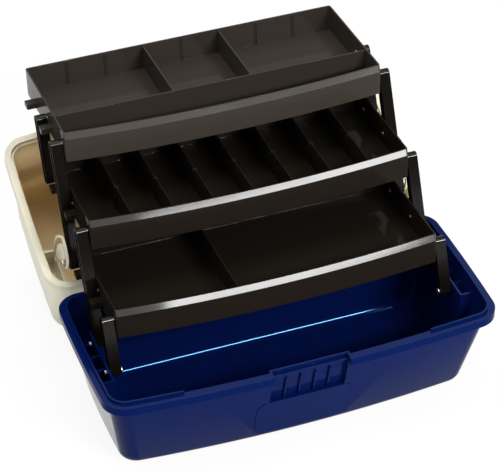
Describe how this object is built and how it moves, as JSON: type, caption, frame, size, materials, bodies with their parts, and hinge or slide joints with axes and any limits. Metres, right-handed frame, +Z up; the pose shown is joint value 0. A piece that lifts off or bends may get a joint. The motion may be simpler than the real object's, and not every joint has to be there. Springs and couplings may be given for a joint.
{
  "type": "cantilever tray tool box",
  "caption": "Open cantilever tool box: deep base, hinged lid with bail handle, and divided trays that rise in steps on swinging side bars as the lid opens.",
  "frame": {"origin": "centre of the base's underside on the table, in the middle of the box's length and of the rim's depth", "axes": "+X along the box to its right end, +Y from the front with the latch recess to the hinged back, +Z up"},
  "size_m": [0.434, 0.4402, 0.2758],
  "materials": {
    "navy_plastic": "satin outside, glossy inside",
    "cream_plastic": "satin",
    "black_tray_plastic": "glossy",
    "black_bar_plastic": "satin",
    "pin_steel": "bright"
  },
  "bodies": {
    "base": {"base": "navy_plastic", "base_pivot_pins": "pin_steel", "hinge_pins": "pin_steel"},
    "lid": {"lid": "cream_plastic", "latch_pin": "pin_steel", "handle_pins": "pin_steel"},
    "bars_lower": {"lower_long_bar_left": "black_bar_plastic", "lower_long_bar_right": "black_bar_plastic"},
    "bars_front": {"front_bar_left": "black_bar_plastic", "front_bar_right": "black_bar_plastic"},
    "bars_upper": {"upper_long_bar_left": "black_bar_plastic", "upper_long_bar_right": "black_bar_plastic", "drive_studs": "pin_steel"},
    "bars_rear": {"rear_bar_left": "black_bar_plastic", "rear_bar_right": "black_bar_plastic"},
    "tray_bottom": {"tray_bottom": "black_tray_plastic", "bottom_tray_pins": "pin_steel"},
    "tray_middle": {"tray_middle": "black_tray_plastic", "middle_tray_pins": "pin_steel"},
    "tray_top": {"tray_top": "black_tray_plastic", "top_tray_pins": "pin_steel"},
    "latch": {"latch": "navy_plastic"},
    "handle": {"handle": "black_bar_plastic"}
  },
  "joints": [
    {"name": "lid_hinge", "type": "hinge", "parent": "base", "child": "lid", "pos_m": [0, 0.1015, 0.109], "axis": [1, 0, 0], "range_deg": [0, 92]},
    {"name": "lower_bars_pivot", "type": "hinge", "parent": "base", "child": "bars_lower", "pos_m": [0, 0.0353, 0.0887], "axis": [1, 0, 0], "range_deg": [0, 79.51]},
    {"name": "front_bars_pivot", "type": "hinge", "parent": "base", "child": "bars_front", "pos_m": [0, -0.01823, 0.093], "axis": [1, 0, 0], "range_deg": [0, 83.02]},
    {"name": "bottom_tray_pivot", "type": "hinge", "parent": "bars_lower", "child": "tray_bottom", "pos_m": [0, 0.05653, 0.1402], "axis": [1, 0, 0], "range_deg": [-75.51, 0]},
    {"name": "upper_bars_pivot", "type": "hinge", "parent": "tray_bottom", "child": "bars_upper", "pos_m": [0, 0.11139, 0.13636], "axis": [1, 0, 0], "range_deg": [0, 75.51]},
    {"name": "middle_tray_pivot", "type": "hinge", "parent": "bars_lower", "child": "tray_middle", "pos_m": [0, 0.08149, 0.20075], "axis": [1, 0, 0], "range_deg": [-75.51, 0]},
    {"name": "rear_bars_pivot", "type": "hinge", "parent": "tray_middle", "child": "bars_rear", "pos_m": [0, 0.19122, 0.19308], "axis": [1, 0, 0], "range_deg": [0, 75.51]},
    {"name": "top_tray_pivot", "type": "hinge", "parent": "bars_upper", "child": "tray_top", "pos_m": [0, 0.16131, 0.25748], "axis": [1, 0, 0], "range_deg": [-75.51, 0]},
    {"name": "latch_hinge", "type": "hinge", "parent": "lid", "child": "latch", "pos_m": [0, 0.29607, 0.17729], "axis": [1, 0, 0], "range_deg": [0, 170]},
    {"name": "handle_hinge", "type": "hinge", "parent": "lid", "child": "handle", "pos_m": [0, 0.259, 0.04312], "axis": [1, 0, 0], "range_deg": [-66, 33]}
  ],
  "couplings": [
    {"joint": "lower_bars_pivot", "follows": "lid_hinge", "ratio": 0.86422},
    {"joint": "front_bars_pivot", "follows": "lid_hinge", "ratio": 0.90238},
    {"joint": "bottom_tray_pivot", "follows": "lid_hinge", "ratio": -0.82074},
    {"joint": "upper_bars_pivot", "follows": "lid_hinge", "ratio": 0.82074},
    {"joint": "middle_tray_pivot", "follows": "lid_hinge", "ratio": -0.82074},
    {"joint": "rear_bars_pivot", "follows": "lid_hinge", "ratio": 0.82074},
    {"joint": "top_tray_pivot", "follows": "lid_hinge", "ratio": -0.82074}
  ]
}
